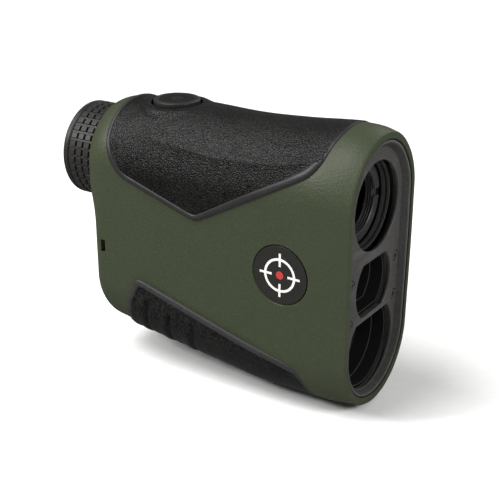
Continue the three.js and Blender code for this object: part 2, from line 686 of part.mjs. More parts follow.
const pieces = [
  ['housing', housing(), 'olive'],
  ['top_grip', topGrip(), 'blackRubber'],
  ['bottom_grip', bottomGrip(), 'blackRubber'],
  ['badge', badge(), 'badgeGrey'],
  ['lanyard_anchor', lanyardAnchor(), 'blackPlastic'],
  ['front_plate', frontPlate(), 'greyPlastic'],
  ...screwPlaces().map((place) => [place.name, bezelScrew(place), 'blackSteel']),

  ['objective_barrel', objectiveBarrel(), 'blackAluminium'],
  ['objective_lens', lens([34.6, 39.3], 11.4, 1.1, SIGHT_Z), 'glass'],
  ['objective_retainer', objectiveRetainer(), 'blackAluminium'],
  ['roof_prism', roofPrism(), 'glass'],
  ['half_penta_prism', halfPentaPrism(), 'glass'],
  ['prism_cage', prismCage(), 'blackPlastic'],
  ['optics_chassis', opticsChassis(), 'blackAluminium'],
  ['lcd_display', lcdDisplay(), 'glass'],
  ['lcd_holder', lcdHolder(), 'blackPlastic'],

  ['diopter_ring', diopterRing(), 'blackRubber'],
  ['eyepiece_mount', eyepieceMount(), 'blackAluminium'],
  ['ocular_cell', ocularCell(), 'blackAluminium'],
  ['eye_lens', lens([-45.6, -42.3], 8.5, 0.8, SIGHT_Z), 'glass'],
  ['field_lens', lens([-34.2, -30.9], 8.5, 0.8, SIGHT_Z), 'glass'],
  ['ocular_retainer', tube([-47.2, -45.4], 8.5, 7.4, SIGHT_Z), 'blackAluminium'],

  ['emitter_barrel', emitterBarrel(), 'blackPlastic'],
  ['emitter_lens', lens([33.3, 36.7], 7.3, 0.8, EMITTER_Z, COARSE), 'glass'],
  ['laser_diode', canWithFlange(20.5, 2.3, EMITTER_Z), 'tin'],
  ['laser_board', box([14.8, 16], [-8.5, 8.5], [29, 44.2]), 'boardGreen'],
  ['receiver_barrel', receiverBarrel(), 'blackPlastic'],
  ['receiver_lens', receiverLens(), 'glass'],
  ['photodiode', canWithFlange(15.4, 3.6, RECEIVER_Z), 'tin'],
  ['receiver_board', box([9.7, 10.9], [-10, 10], [9.4, 26.6]), 'boardGreen'],

  ['main_board', mainBoard(), 'boardGreen'],
  ['processor_chip', processorChip(), 'chipBlack'],
  ['converter_coil', converterCoil(), 'chipBlack'],
  ['storage_capacitor', storageCapacitor(), 'tin'],

  ['battery_tube', batteryTube(), 'blackPlastic'],
  ['battery_cell', batteryCell(), 'batteryWrap'],
  ['front_contact', rod([-8.1, -7.7], 5, BATTERY_Z, COARSE), 'copper'],
  ['battery_cap', batteryCap(), 'blackPlastic'],
  ['cap_seal', tube([-38.5, -38.1], 9.4, 8.6, BATTERY_Z), 'blackRubber'],
  ['cap_contact', rod([-36.1, -35.7], 5, BATTERY_Z, COARSE), 'copper'],

  ['fire_button', fireButton(), 'blackRubber'],
  ['button_stem', post([70.3, 72.3], 1.6, BUTTON_X, COARSE), 'blackPlastic'],
  ['button_membrane', buttonMembrane(), 'blackRubber'],
  ['button_bracket', buttonBracket(), 'blackPlastic'],
  ['button_board', post([65.4, 66.6], 9, BUTTON_X, COARSE), 'boardGreen'],
  ['tact_switch', box([BUTTON_X - 3, BUTTON_X + 3], [-3, 3], [66.9, 69.5]), 'chipBlack'],
];

const rangefinder = new THREE.Group();
pieces.forEach(([name, body, finish]) => {
  const mesh = new THREE.Mesh(surfaceOf(body), finishes[finish]());
  mesh.name = name;
  rangefinder.add(mesh);
});

export default rangefinder;
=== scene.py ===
import json
import math

import bmesh
import bpy
import numpy as np
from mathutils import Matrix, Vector


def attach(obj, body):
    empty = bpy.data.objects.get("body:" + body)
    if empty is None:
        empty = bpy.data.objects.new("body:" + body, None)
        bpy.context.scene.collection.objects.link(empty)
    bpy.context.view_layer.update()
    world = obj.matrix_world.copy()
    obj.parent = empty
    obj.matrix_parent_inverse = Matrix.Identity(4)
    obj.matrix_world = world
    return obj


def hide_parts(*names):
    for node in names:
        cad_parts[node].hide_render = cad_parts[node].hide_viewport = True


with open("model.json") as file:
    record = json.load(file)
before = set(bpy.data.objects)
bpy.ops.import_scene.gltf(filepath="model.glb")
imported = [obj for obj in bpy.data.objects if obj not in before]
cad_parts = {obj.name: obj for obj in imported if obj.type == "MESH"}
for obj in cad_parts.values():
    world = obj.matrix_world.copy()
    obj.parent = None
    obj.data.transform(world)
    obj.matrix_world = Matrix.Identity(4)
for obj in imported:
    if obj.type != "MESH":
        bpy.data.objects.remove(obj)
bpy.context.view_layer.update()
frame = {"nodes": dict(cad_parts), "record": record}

MM = 0.001

# ---- named sizes ----

# The body's outline: heights and half widths at knots along X.
TOP_LINE = [(-38.5, 77.5), (-29, 78.1), (-10, 78.95), (9, 78.7), (25, 79.6), (40, 81.0),
            (46, 80.9), (50, 79.9)]
BOTTOM_LINE = [(-38.5, 8.0), (-20, 5.4), (0, 3.1), (20, 0.7), (39.5, 0), (50, 1.3)]
HALF_WIDTH = [(-38.5, 17.8), (-20, 18.2), (38, 18.3), (50, 18.1)]

BODY_REAR, BODY_FRONT = -38.5, 50.0
COLLAR_REAR, COLLAR_LOW, COLLAR_HIGH = -39.0, 42, 55
SIGHT_Z, EMITTER_Z, RECEIVER_Z, BATTERY_Z = 59.5, 36.7, 18.3, 25.0

# Openings in the front plate: radius, height of the centre, heights of the lower and upper flats.
NO_FLATS = (0, 90)
SIGHT_OPENING = (12.5, SIGHT_Z, *NO_FLATS)
EMITTER_OPENING = (10.0, EMITTER_Z, 28.6, 44.35)
RECEIVER_OPENING = (12.9, RECEIVER_Z, 0, 27.3)

PLATE_REAR, PLATE_STEP, PLATE_FACE, PLATE_RIM = 45.8, 47.3, 48.0, 49.55
PLATE_HALF, PLATE_TOP, PLATE_BOTTOM = 16.05, 61.4, 19.9
SEAT_HALF = 16.5

# The front's draft, and the spans over which it grows and, near the top, fades.
FACE_LEAN, FACE_SPREAD, CROWN_FADE = 0.3, 0.6, 0.7
DRAFT_ALONG, DRAFT_UP, DRAFT_SIDEWAYS, DRAFT_CROWN = (28, 44), (5, 52), (13.5, 16), (60, 74)

SCREW_REAR, SCREW_HEAD, SCREW_TOP, SHANK_R, HEAD_R = 42, 46.9, 47.93, 0.6, 1.3
WELL_FLOOR, WELL_R, BORE_R = 46.7, 1.55, 0.9
SCREW_PLACES = {
    f"bezel_screw_{level}_{side}": (y, z)
    for level, z in (("upper", 40.9), ("lower", 29.05))
    for side, y in (("left", 12.7), ("right", -12.7))
}

BUTTON_X, BUTTON_R, BUTTON_TOP = -17.5, 6.85, 79.5
BUTTON_RIM_Z, BUTTON_RIM_SLOPE, BUTTON_OPENING = 78.15, 0.05, 7.55
BADGE_X, BADGE_Z, BADGE_R = 29.3, 41.5, 8.4
SLOT_REAR, SLOT_FRONT, SLOT_LOW, SLOT_HIGH = -34.0, -32.2, 34.0, 37.9

# Edges that bend by more than this many degrees are drawn sharp.
SHARP_ANGLE = 32.0

# ---- curves and numbers ----


def smooth_line(line, x):
    """Value at x of a smooth curve through (x, value) knots."""
    knots, values = np.array(line, float).T
    order = np.arange(len(knots))
    low = np.maximum(order - 1, 0)
    high = np.minimum(order + 1, len(knots) - 1)
    slopes = (values[high] - values[low]) / (knots[high] - knots[low])
    i = np.clip(np.searchsorted(knots, x) - 1, 0, len(knots) - 2)
    span = knots[i + 1] - knots[i]
    t = (x - knots[i]) / span
    ends = values[i] * (1 + 2 * t) * (1 - t) ** 2 + values[i + 1] * t * t * (3 - 2 * t)
    return ends + span * t * (1 - t) * (slopes[i] * (1 - t) - slopes[i + 1] * t)


def ramp(value, low, high):
    """0 below low, 1 above high and a smooth rise between them."""
    t = np.clip((np.asarray(value, float) - low) / (high - low), 0, 1)
    return t * t * (3 - 2 * t)


def eased_line(line, x):
    """Value at x of a line that eases from each (x, value) knot to the next."""
    value = line[0][1]
    for (x0, value0), (x1, value1) in zip(line, line[1:]):
        value = value + (value1 - value0) * ramp(x, x0, x1)
    return value


def bell(value, middle, width):
    """A bell-shaped rise to 1 at the middle."""
    return np.exp(-((value - middle) / width) ** 2)


def quad(start, control, end, steps=14):
    """Points along a quadratic curve."""
    t = np.linspace(0, 1, steps)[:, None]
    a, b, c = (np.array(point, float) for point in (start, control, end))
    return [tuple(p) for p in (1 - t) ** 2 * a + 2 * t * (1 - t) * b + t * t * c]


def rounded(profile, radius):
    """A 2-D profile with each corner away from the axis replaced by a small curve."""
    result = []
    for i, point in enumerate(profile):
        here = np.array(point, float)
        if here[1] == 0:
            result.append(tuple(here))
            continue
        before = np.array(profile[i - 1], float) - here
        after = np.array(profile[(i + 1) % len(profile)], float) - here
        reach_in = min(radius, 0.45 * np.linalg.norm(before))
        reach_out = min(radius, 0.45 * np.linalg.norm(after))
        start = here + before / np.linalg.norm(before) * reach_in
        end = here + after / np.linalg.norm(after) * reach_out
        result.extend(quad(start, here, end, steps=4))
    return result


# ---- mesh building ----


def ring_faces(ring_count, ring_size, wrap=False):
    """Quads between successive rings of equal size; wrap joins the last ring to the first."""
    faces = []
    for r in range(ring_count if wrap else ring_count - 1):
        upper = ((r + 1) % ring_count) * ring_size
        lower = r * ring_size
        for i in range(ring_size):
            j = (i + 1) % ring_size
            faces.append((lower + i, lower + j, upper + j, upper + i))
    return faces


def drafted(points):
    """Points with the front's draft: towards its top the face leans out and grows wider."""
    points = np.array(points, float)
    x, y, z = points.T
    crown = 1 - CROWN_FADE * ramp(z, *DRAFT_CROWN)
    share = ramp(x, *DRAFT_ALONG) * ramp(z, *DRAFT_UP) * crown
    outer = np.sign(y) * ramp(np.abs(y), *DRAFT_SIDEWAYS)
    points[:, 0] += FACE_LEAN * share
    points[:, 1] += FACE_SPREAD * share * outer
    return points


def shade_smooth(mesh, sharp):
    """Smooth shading, but for edges that bend by more than sharp degrees."""
    form = bmesh.new()
    form.from_mesh(mesh)
    limit = math.radians(sharp)
    for face in form.faces:
        face.smooth = True
    for edge in form.edges:
        edge.smooth = len(edge.link_faces) == 2 and edge.calc_face_angle(0) < limit
    form.to_mesh(mesh)
    form.free()


def mesh_from(name, points, faces, sharp=SHARP_ANGLE):
    """An outward-facing mesh from points in millimetres, with the front's draft."""
    form = bmesh.new()
    corners = [form.verts.new(Vector(p) * MM) for p in drafted(points).tolist()]
    for face in faces:
        form.faces.new([corners[i] for i in face])
    bmesh.ops.remove_doubles(form, verts=form.verts, dist=2e-7)
    bmesh.ops.dissolve_degenerate(form, edges=form.edges, dist=1e-8)
    bmesh.ops.recalc_face_normals(form, faces=form.faces)
    mesh = bpy.data.meshes.new(name)
    form.to_mesh(mesh)
    form.free()
    shade_smooth(mesh, sharp)
    return mesh


def from_rings(rings, wrap=False):
    """Points and faces of a skin through rings of equal size."""
    return np.concatenate(rings), ring_faces(len(rings), len(rings[0]), wrap)


def turned(profile, axis, centre, steps):
    """A profile of (place, radius) turned about axis 0, 1 or 2; joined up unless it ends on the axis."""
    turn = np.linspace(0, 2 * math.pi, steps, endpoint=False)
    first, second = (k for k in range(3) if k != axis)
    rings = []
    for place, radius in profile:
        ring = np.empty((steps, 3))
        ring[:, axis] = place
        ring[:, first] = centre[0] + radius * np.cos(turn)
        ring[:, second] = centre[1] + radius * np.sin(turn)
        rings.append(ring)
    return from_rings(rings, wrap=profile[0][1] > 0 or profile[-1][1] > 0)


def lathe(profile, z, y=0.0, steps=128):
    """A profile of (x, radius) turned about a line along X."""
    return turned(profile, 0, (y, z), steps)


def lathe_across(profile, x, z):
    """A profile of (y, radius) turned about a line along Y."""
    return turned(profile, 1, (x, z), steps=96)


def lathe_up(profile, x):
    """A profile of (z, radius) turned about a vertical line."""
    return turned(profile, 2, (x, 0.0), steps=96)


def block(x_span, y_span, z_span):
    """A box's corners and faces, for cutting with."""
    base = [(0, 0), (1, 0), (1, 1), (0, 1)]
    rings = [np.array([(x_span[i], y_span[j], z) for i, j in base], float) for z in z_span]
    points, faces = from_rings(rings)
    return points, faces + [(3, 2, 1, 0), (4, 5, 6, 7)]


def band(rear, front, inner, outer):
    """A ring's rectangular profile."""
    return [(rear, inner), (rear, outer), (front, outer), (front, inner)]


def merged(*shapes):
    """Several (points, faces) shapes as one."""
    points, faces, start = [], [], 0
    for some_points, some_faces in shapes:
        points.append(np.asarray(some_points, float))
        faces += [tuple(i + start for i in face) for face in some_faces]
        start += len(some_points)
    return np.concatenate(points), faces


def add_object(name, data):
    """A new object in the scene."""
    thing = bpy.data.objects.new(name, data)
    bpy.context.scene.collection.objects.link(thing)
    return thing


def carved(mesh, cutters):
    """The mesh with each (points, faces) cutter taken out of it."""
    body = add_object("carving", mesh)
    tools = []
    for points, faces in cutters:
        tool = add_object("cutter", mesh_from("cutter", points, faces))
        tools.append(tool)
        cut = body.modifiers.new("cut", "BOOLEAN")
        cut.operation = "DIFFERENCE"
        cut.solver = "EXACT"
        cut.object = tool
    bpy.context.view_layer.update()
    graph = bpy.context.evaluated_depsgraph_get()
    result = bpy.data.meshes.new_from_object(body.evaluated_get(graph))
    for thing in [body, *tools]:
        bpy.data.objects.remove(thing)
    result.materials.clear()
    shade_smooth(result, SHARP_ANGLE)
    return result


def add_piece(name, material, shape, stands_for=(), body="body", sharp=SHARP_ANGLE):
    """Puts a finished piece in the scene. shape is a mesh, or points and faces in millimetres."""
    mesh = shape if isinstance(shape, bpy.types.Mesh) else mesh_from(name, *shape, sharp)
    mesh.name = name
    mesh.materials.append(material)
    piece = add_object(name, mesh)
    weighting = piece.modifiers.new("weighted normals", "WEIGHTED_NORMAL")
    weighting.keep_sharp = True
    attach(piece, body)
    if stands_for:
        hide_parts(*stands_for)
    return piece


# ---- materials ----


def linear_colour(srgb):
    """Linear colour for 8-bit sRGB values."""
    shares = (value / 255 for value in srgb)
    linear = [s / 12.92 if s <= 0.04045 else ((s + 0.055) / 1.055) ** 2.4 for s in shares]
    return (*linear, 1.0)


def toned(colour, factor):
    """The colour made lighter or darker."""
    return (*[min(1.0, channel * factor) for channel in colour[:3]], 1.0)


def connect(tree, node, inputs):
    """Gives each named socket its value, which is a constant or another node's output."""
    for socket, value in inputs.items():
        if isinstance(value, bpy.types.NodeSocket):
            tree.links.new(value, node.inputs[socket])
        else:
            node.inputs[socket].default_value = value


def add_node(tree, kind, inputs, **settings):
    """A shader node with inputs on its sockets and settings on the node itself."""
    node = tree.nodes.new("ShaderNode" + kind)
    for key, value in settings.items():
        setattr(node, key, value)
    connect(tree, node, inputs)
    return node


def noise(tree, place, scale, detail, roughness=0.5, distortion=0.0):
    """A cloudy pattern around 0.5."""
    return add_node(tree, "TexNoise", {
        "Vector": place, "Scale": scale, "Detail": detail, "Roughness": roughness,
        "Distortion": distortion,
    }).outputs["Fac"]


def maths(tree, operation, *values):
    """The result of an operation on constants and other nodes' outputs."""
    return add_node(tree, "Math", dict(enumerate(values)), operation=operation).outputs[0]


def remapped(tree, value, from_span, to_span):
    """The value with one span of numbers stretched onto another."""
    return add_node(tree, "MapRange", {
        "Value": value, "From Min": from_span[0], "From Max": from_span[1], "To Min": to_span[0],
        "To Max": to_span[1],
    }).outputs["Result"]


def texture(tree, place, pattern, grain):
    """Outputs for a pattern's fine grain and for its height."""
    scale = 1.0 / (grain * MM)
    if pattern == "pebble":
        fine = noise(tree, place, scale, 1.0)
        cells = add_node(tree, "TexVoronoi", {"Vector": place, "Scale": scale * 1.1, "Smoothness": 0.2},
                         feature="SMOOTH_F1")
        return fine, maths(tree, "SUBTRACT", fine, cells.outputs["Distance"])
    if pattern == "leather":
        fine = noise(tree, place, scale, 2.0, distortion=0.3)
        cells = add_node(tree, "TexVoronoi", {"Vector": place, "Scale": scale * 0.55},
                         feature="DISTANCE_TO_EDGE")
        return fine, maths(tree, "MULTIPLY_ADD", cells.outputs["Distance"], 0.8, fine)
    if pattern == "brushed":
        stretch = add_node(tree, "Mapping", {"Vector": place, "Scale": (1.0, 0.08, 0.08)})
        fine = noise(tree, stretch.outputs["Vector"], scale, 2.0)
        return fine, fine
    fine = noise(tree, place, scale, 1.5, distortion=0.2)
    return fine, fine


def grained_colour(tree, fine, broad, colour, contrast, edge_wear_and_highlight, patchy):
    """A colour with fine grain, broad unevenness and lighter sharp edges: partly wear, partly painted
    highlight.
    """
    unevenness = remapped(tree, broad, (0.0, 1.0), (0.5 - patchy / 2, 0.5 + patchy / 2))
    pointiness = add_node(tree, "NewGeometry", {}).outputs["Pointiness"]
    # Sharp edges are drawn lighter: partly wear, partly a painted highlight.
    edge_share = remapped(tree, pointiness, (0.53, 0.66), (0.0, 0.45))
    tone = maths(tree, "MULTIPLY_ADD", fine, unevenness, edge_share)
    colours = add_node(tree, "ValToRGB", {"Fac": tone})
    stops = [(0.17, toned(colour, 1 - contrast)), (0.25, colour), (0.33, toned(colour, 1 + contrast)),
             (0.75, toned(colour, edge_wear_and_highlight))]
    elements = colours.color_ramp.elements
    while len(elements) < len(stops):
        elements.new(0.5)
    for element, (position, value) in zip(elements, stops):
        element.position = position
        element.color = value
    return colours.outputs["Color"]


def finish(name, srgb, roughness, grain, depth, pattern="grain", metallic=0.0, contrast=0.14,
           edge_wear_and_highlight=1.25, specular=0.5, transmission=0.0, ior=1.5, patchy=0.25):
    """A procedural material. grain and depth are its texture's size and height in mm."""
    blotch = 14
    colour = linear_colour(srgb)
    material = bpy.data.materials.new(name)
    material.use_nodes = True
    tree = material.node_tree
    place = add_node(tree, "TexCoord", {}).outputs["Object"]
    fine, height = texture(tree, place, pattern, grain)
    broad = noise(tree, place, 1.0 / (blotch * MM), 2.0, roughness=0.55)
    bump = add_node(tree, "Bump", {"Strength": 1.0, "Distance": depth * MM, "Height": height})
    connect(tree, tree.nodes["Principled BSDF"], {
        "Base Color": grained_colour(tree, fine, broad, colour, contrast, edge_wear_and_highlight, patchy),
        "Roughness": remapped(tree, broad, (0.3, 0.7), roughness),
        "Normal": bump.outputs["Normal"],
        "Metallic": metallic,
        "Specular IOR Level": specular,
        "IOR": ior,
        "Transmission Weight": transmission,
    })
    return material


# Each material's last colour step lightens its sharp edges: partly wear, partly a painted highlight.
olive_shell = finish("olive_moulding", (54, 60, 43), (0.4, 0.48), 0.55, 0.1, contrast=0.07,
                     specular=0.2, patchy=0.06)
# The pebbled rubber's strong colour contrast is partly its grain and partly painted glints of light on the
# pebbles.
pebble_rubber = finish("pebbled_rubber", (20, 20, 19), (0.28, 0.36), 0.42, 0.14, "pebble",
                       contrast=0.75, edge_wear_and_highlight=2.8, specular=0.165)
leather_rubber = finish("leather_rubber", (22, 22, 21), (0.3, 0.42), 0.66, 0.26, "leather",
                        contrast=0.8, edge_wear_and_highlight=2.4, specular=0.3)
border_rubber = finish("border_rubber", (48, 47, 47), (0.36, 0.46), 0.5, 0.03, specular=0.2)
smooth_rubber = finish("smooth_rubber", (40, 39, 39), (0.36, 0.46), 0.5, 0.03, specular=0.2)
ring_rubber = finish("ring_rubber", (36, 35, 34), (0.38, 0.48), 0.5, 0.03, contrast=0.16,
                     edge_wear_and_highlight=1.8, specular=0.22)
badge_face = finish("badge_face", (38, 37, 35), (0.35, 0.45), 0.3, 0.006, contrast=0.06, specular=0.15)
white_ink = finish("white_ink", (216, 216, 213), (0.4, 0.5), 0.3, 0.004, contrast=0.04, edge_wear_and_highlight=1.0)
red_ink = finish("red_ink", (172, 38, 36), (0.4, 0.5), 0.3, 0.004, contrast=0.06, edge_wear_and_highlight=1.0)
plate_plastic = finish("plate_plastic", (60, 59, 58), (0.38, 0.48), 0.5, 0.06, contrast=0.2,
                       edge_wear_and_highlight=1.5, specular=0.3)
# A light grey for the thin ring along the plate's rim: a painted highlight.
plate_rim_highlight_paint = finish("plate_rim_highlight_paint", (92, 91, 88), (0.35, 0.45), 0.3, 0.01, contrast=0.2, specular=0.4)
black_plastic = finish("black_plastic", (24, 24, 24), (0.42, 0.55), 0.3, 0.02, specular=0.15)
retainer_black = finish("retainer_black", (50, 50, 50), (0.35, 0.45), 0.3, 0.01, contrast=0.2,
                        edge_wear_and_highlight=1.6, specular=0.4)
# Light grey for thin rings along the tunnels' edges: painted highlights.
edge_highlight_paint = finish("painted_edge_highlight", (60, 60, 59), (0.35, 0.45), 0.3, 0.01, contrast=0.3, specular=0.3)
# The tunnels' sharp edges are drawn much lighter: painted highlights.
tunnel_black = finish("tunnel_black", (22, 22, 22), (0.45, 0.6), 0.3, 0.015, edge_wear_and_highlight=2.4, specular=0.12)
black_aluminium = finish("black_anodised", (40, 40, 41), (0.38, 0.5), 0.15, 0.006, "brushed",
                         metallic=0.6, edge_wear_and_highlight=1.6)
black_steel = finish("black_steel", (48, 48, 48), (0.3, 0.42), 0.15, 0.006, "brushed",
                     metallic=0.9, edge_wear_and_highlight=1.6)
screw_steel = finish("screw_steel", (62, 61, 60), (0.38, 0.48), 0.3, 0.01, contrast=0.12,
                     metallic=0.05, specular=0.3)
coated_glass = finish("coated_glass", (225, 238, 234), (0.01, 0.03), 2.0, 0.0005,
                      contrast=0.02, edge_wear_and_highlight=1.0, transmission=1.0, ior=1.52)
tinned_metal = finish("tinned_metal", (186, 186, 184), (0.24, 0.36), 0.2, 0.005, "brushed", metallic=1.0)
board_green = finish("board_green", (31, 90, 54), (0.35, 0.5), 0.6, 0.02)
wrap_blue = finish("battery_wrap", (63, 111, 158), (0.25, 0.35), 0.8, 0.006)
brass = finish("contact_brass", (184, 140, 77), (0.25, 0.38), 0.2, 0.005, "brushed", metallic=1.0)

SLOT_MATERIALS = dict(
    olive_shell=olive_shell, black_rubber=smooth_rubber, badge_grey=badge_face,
    black_plastic=black_plastic, grey_plastic=plate_plastic, black_steel=black_steel,
    black_aluminium=black_aluminium, coated_glass=coated_glass, plated_steel=tinned_metal,
    circuit_board=board_green, battery_wrap=wrap_blue, contact_brass=brass,
)

for subpart in frame["record"]["subparts"]:
    data = frame["nodes"][subpart["node"]].data
    data.materials.clear()
    data.materials.append(SLOT_MATERIALS[subpart["material_slot"]])

# ---- body form ----

ARCH_POINTS, SIDE_POINTS = 60, 26


def section_frame():
    """Unit normals round the section, and where each point's centre lies: 1 top, 0 bottom."""
    arch = np.linspace(0, math.pi, ARCH_POINTS)
    side = np.linspace(1, 0, SIDE_POINTS + 2)[1:-1]
    flat = np.zeros(SIDE_POINTS)
    y = np.concatenate([np.cos(arch), flat - 1, -np.cos(arch), flat + 1])
    z = np.concatenate([np.sin(arch), flat, -np.sin(arch), flat])
    level = np.concatenate([np.ones(ARCH_POINTS), side, np.zeros(ARCH_POINTS), side[::-1]])
    return y, z, level


NORMAL_Y, NORMAL_Z, LEVEL = section_frame()
BADGE_Y = -smooth_line(HALF_WIDTH, BADGE_X)


def stadium(x, radius, top, bottom):
    """A ring of points; each argument is one number or one per point."""
    centre = bottom + (top - bottom) * LEVEL
    x = np.broadcast_to(np.asarray(x, float), LEVEL.shape)
    return np.stack([x, radius * NORMAL_Y, centre + radius * NORMAL_Z], 1)


def section_sizes(x):
    """The body's half width at x, and the heights of the centres of its top and bottom rounds."""
    half = smooth_line(HALF_WIDTH, x)
    top = smooth_line(TOP_LINE, x) - half
    bottom = smooth_line(BOTTOM_LINE, x) + half
    return half, top, bottom


def section(x, inset=0.0):
    """The body's section at x, drawn in by inset."""
    half, top, bottom = section_sizes(x)
    return stadium(x, half - inset, top, bottom)


def rear_rings():
    """From the middle of the rear face out over its rounding. The upper part is the collar."""
    rounding, collar_length, collar_inset = 5.4, 7.0, 3.0
    height = section(np.full(LEVEL.shape, BODY_REAR))[:, 2]
    share = ramp(height, COLLAR_LOW, COLLAR_HIGH)
    rings = []
    for angle in np.linspace(0, math.pi / 2, 14):
        low_x = BODY_REAR + rounding * (1 - math.cos(angle))
        high_x = COLLAR_REAR + collar_length * (1 - math.cos(angle))
        low_inset = rounding * (1 - math.sin(angle))
        high_inset = collar_inset * (1 - math.sin(angle))
        x = low_x + (high_x - low_x) * share
        rings.append(section(x, low_inset + (high_inset - low_inset) * share))
    x = BODY_REAR + (COLLAR_REAR - BODY_REAR) * share
    half = smooth_line(HALF_WIDTH, x)
    edge = rings[0]
    middle = section(x, half)
    face = [middle + (edge - middle) * part for part in (0.0, 0.35, 0.7, 0.9)]
    return face + rings


def shell_shape():
    """Rear face, outside, front lip, the front plate's seat and the inside, as one skin."""
    wall, lip, inner_lip, quarter_turn = 2.2, 0.5, 0.25, math.pi / 2
    rounding_end, seat_floor, cavity_rear, cavity_end = -31.2, PLATE_REAR - 0.3, -32.5, -36.3
    rings = rear_rings() + [section(x) for x in np.linspace(rounding_end, BODY_FRONT - lip, 74)]
    rings += [
        section(BODY_FRONT - lip + lip * math.sin(a), lip * (1 - math.cos(a)))
        for a in np.linspace(0, quarter_turn, 5)[1:]
    ]
    seat = [
        (BODY_FRONT - inner_lip * (1 - math.cos(a)), SEAT_HALF + inner_lip * (1 - math.sin(a)))
        for a in np.linspace(0, quarter_turn, 4)
    ]
    seat += [(PLATE_REAR + 1.2, SEAT_HALF), (seat_floor + 0.01, SEAT_HALF), (seat_floor, SEAT_HALF)]
    rings += [stadium(x, r, PLATE_TOP, PLATE_BOTTOM) for x, r in seat]
    rings += [section(x, wall) for x in np.linspace(seat_floor, cavity_rear, 24)]
    rings += [section(-34.8, 3.6), section(cavity_end, 7), section(cavity_end, 12)]
    rings.append(section(cavity_end, smooth_line(HALF_WIDTH, cavity_end)))
    return from_rings(rings)


def shell_cutters():
    """The badge's seat, the bores of eyepiece, battery and button, and the strap slot's two mouths."""
    badge_seat = [(-30, 0), (-30, BADGE_R + 0.55), (BADGE_Y, BADGE_R + 0.42),
                  (BADGE_Y + 0.25, BADGE_R + 0.2), (BADGE_Y + 1.1, BADGE_R + 0.2), (BADGE_Y + 1.1, 0)]
    eye_bore, battery_bore, button_bore = 12.2, 9.7, 9.0
    eyepiece = [(-45, 0), (-45, eye_bore + 0.5), (-39, eye_bore + 0.5), (-38.5, eye_bore),
                (-29, eye_bore), (-29, 0)]
    battery = [(-45, 0), (-45, battery_bore + 0.3), (-38.5, battery_bore + 0.3),
               (-38.1, battery_bore), (-34, battery_bore), (-34, 0)]
    return [
        lathe_across(badge_seat, BADGE_X, BADGE_Z),
        lathe(eyepiece, SIGHT_Z),
        lathe(battery, BATTERY_Z),
        lathe_up(band(70, 90, 0, button_bore), BUTTON_X),
        block((SLOT_REAR, SLOT_FRONT), (-22, -14), (SLOT_LOW, SLOT_HIGH)),
        block((-42, SLOT_REAR - 0.5), (-14.6, -12.8), (SLOT_LOW, SLOT_HIGH)),
    ]


shell = mesh_from("shell", *shell_shape())
add_piece("shell", olive_shell, carved(shell, shell_cutters()), ["housing"])

# ---- grips ----


def on_body(x, girth, lift):
    """Points on the body, girth mm round from its top line (+Y side positive), lift mm proud."""
    x, girth = np.broadcast_arrays(np.asarray(x, float), np.asarray(girth, float))
    half, top, bottom = section_sizes(x)
    reach = np.abs(girth)
    quarter = half * math.pi / 2
    side_end = quarter + top - bottom
    upper, lower = reach < quarter, reach > side_end
    angle = np.where(upper, reach / half, math.pi / 2)
    angle = np.where(lower, math.pi / 2 + (reach - side_end) / half, angle)
    centre = np.where(upper, top, np.where(lower, bottom, top - (reach - quarter)))
    outward = np.stack([np.zeros_like(x), np.sign(girth) * np.sin(angle), np.cos(angle)], -1)
    base = np.stack([x, np.zeros_like(x), centre], -1)
    return base + outward * (half + lift)[..., None], outward


def girth_at(x, z):
    """How far round from the top line the side of the body has come down to height z."""
    half, top, bottom = section_sizes(x)
    quarter = half * math.pi / 2
    upper = half * np.arccos(np.clip((z - top) / half, 0, 1))
    lower = quarter + top - bottom + half * np.arcsin(np.clip((bottom - z) / half, 0, 1))
    return np.where(z > top, upper, np.where(z > bottom, quarter + top - z, lower))


def inside(outline, x, z):
    """Whether points lie inside a closed (x, z) outline."""
    result = np.zeros(np.shape(x), bool)
    for (x0, z0), (x1, z1) in zip(outline, outline[1:] + outline[:1]):
        if z0 == z1:
            continue
        crosses = (z0 > z) != (z1 > z)
        result ^= crosses & (x < x0 + (z - z0) * (x1 - x0) / (z1 - z0))
    return result


# The grips' side outlines as (x, z). They run past the body's top or bottom line.
TOP_OUTLINE = [
    (-31.8, 95.0), (40.9, 95.0), (40.9, 81.5),
    *quad((39.4, 75.4), (38.2, 71.1), (34.4, 69.1)),
    *quad((3.4, 52.5), (1.35, 51.4), (-0.8, 52.1)),
    *quad((-22.4, 58.8), (-24.6, 59.5), (-26.2, 61.0)),
    *quad((-26.2, 61.0), (-31.8, 66.4), (-31.8, 76.3)),
]
BOTTOM_OUTLINE = [
    (37.6, -10.0), (-26.7, -10.0),
    *quad((-26.7, 9.0), (-25.9, 17.0), (-21.1, 27.1)),
    *quad((-21.1, 27.1), (-20.3, 28.7), (-18.4, 28.2)),
    *quad((32.8, 14.6), (33.9, 14.2), (34.4, 13.3)),
    *quad((34.4, 13.3), (36.6, 9.6), (37.2, 3.5)),
]

# The top grip's soft shoulder: its girth and its height, at knots along X.
CREASE = [(-31, 15.0), (-13, 17.5), (0.6, 18.7), (10.8, 18.8), (30, 18.2), (37.4, 16.2), (41, 14.5)]
CREASE_HEIGHT = [(-28, 0.0), (-6, 0.9), (33, 0.9), (41, 0.45)]


def crease(x, girth):
    """How far the shoulder rises: a soft ridge that falls off to both sides."""
    softness = 2.0
    away = np.abs(np.abs(girth) - smooth_line(CREASE, x))
    return eased_line(CREASE_HEIGHT, x) * np.exp(-away / softness)


